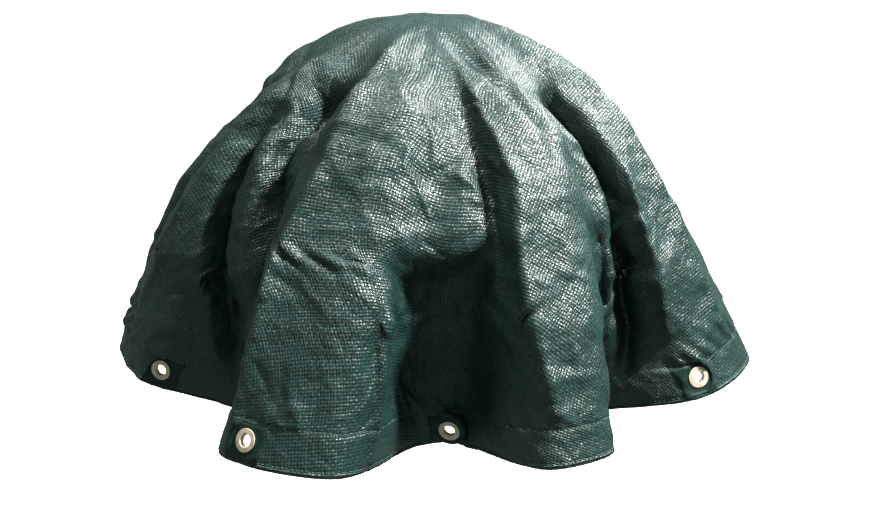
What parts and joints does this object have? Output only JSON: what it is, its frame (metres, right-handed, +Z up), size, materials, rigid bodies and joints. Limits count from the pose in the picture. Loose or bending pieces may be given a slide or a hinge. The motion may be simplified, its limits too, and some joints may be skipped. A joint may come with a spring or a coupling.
{
  "type": "kettle barbecue cover",
  "caption": "Round draped cover for a kettle barbecue: one fluted sheet of coated woven polyethylene with a roped, sewn hem and metal eyelets.",
  "frame": {"origin": "underside of the crown, where the lid handle carries the cover", "axes": "+Z up; the front, with the eyelet pair of the front left lobe and the front valley, faces -Y; +X to the right seen from the front"},
  "size_m": [0.7046, 0.7379, 0.4104],
  "materials": {
    "cover_fabric": "satin coated woven tape, bottle green",
    "patch_film": "smooth satin film, darker bottle green",
    "rope": "twisted polypropylene",
    "thread": "polyester sewing thread, grey green",
    "eyelet_metal": "bright rolled aluminium, lightly tarnished"
  },
  "bodies": {
    "root": {"cover_sheet": "cover_fabric", "hem_facing": "cover_fabric", "hem_rope": "rope", "lower_hem_thread": "thread", "upper_hem_thread": "thread", "eyelet_01": "eyelet_metal", "eyelet_02": "eyelet_metal", "eyelet_03": "eyelet_metal", "eyelet_04": "eyelet_metal", "eyelet_05": "eyelet_metal", "eyelet_06": "eyelet_metal", "eyelet_07": "eyelet_metal", "eyelet_08": "eyelet_metal", "eyelet_09": "eyelet_metal", "eyelet_10": "eyelet_metal", "eyelet_11": "eyelet_metal", "eyelet_12": "eyelet_metal", "eyelet_washer_01": "eyelet_metal", "eyelet_washer_02": "eyelet_metal", "eyelet_washer_03": "eyelet_metal", "eyelet_washer_04": "eyelet_metal", "eyelet_washer_05": "eyelet_metal", "eyelet_washer_06": "eyelet_metal", "eyelet_washer_07": "eyelet_metal", "eyelet_washer_08": "eyelet_metal", "eyelet_washer_09": "eyelet_metal", "eyelet_washer_10": "eyelet_metal", "eyelet_washer_11": "eyelet_metal", "eyelet_washer_12": "eyelet_metal", "eyelet_patch_01": "patch_film", "eyelet_patch_02": "patch_film", "eyelet_patch_03": "patch_film", "eyelet_patch_04": "patch_film", "eyelet_patch_05": "patch_film", "eyelet_patch_06": "patch_film", "eyelet_patch_07": "patch_film", "eyelet_patch_08": "patch_film", "eyelet_patch_09": "patch_film", "eyelet_patch_10": "patch_film", "eyelet_patch_11": "patch_film", "eyelet_patch_12": "patch_film"}
  },
  "joints": []
}
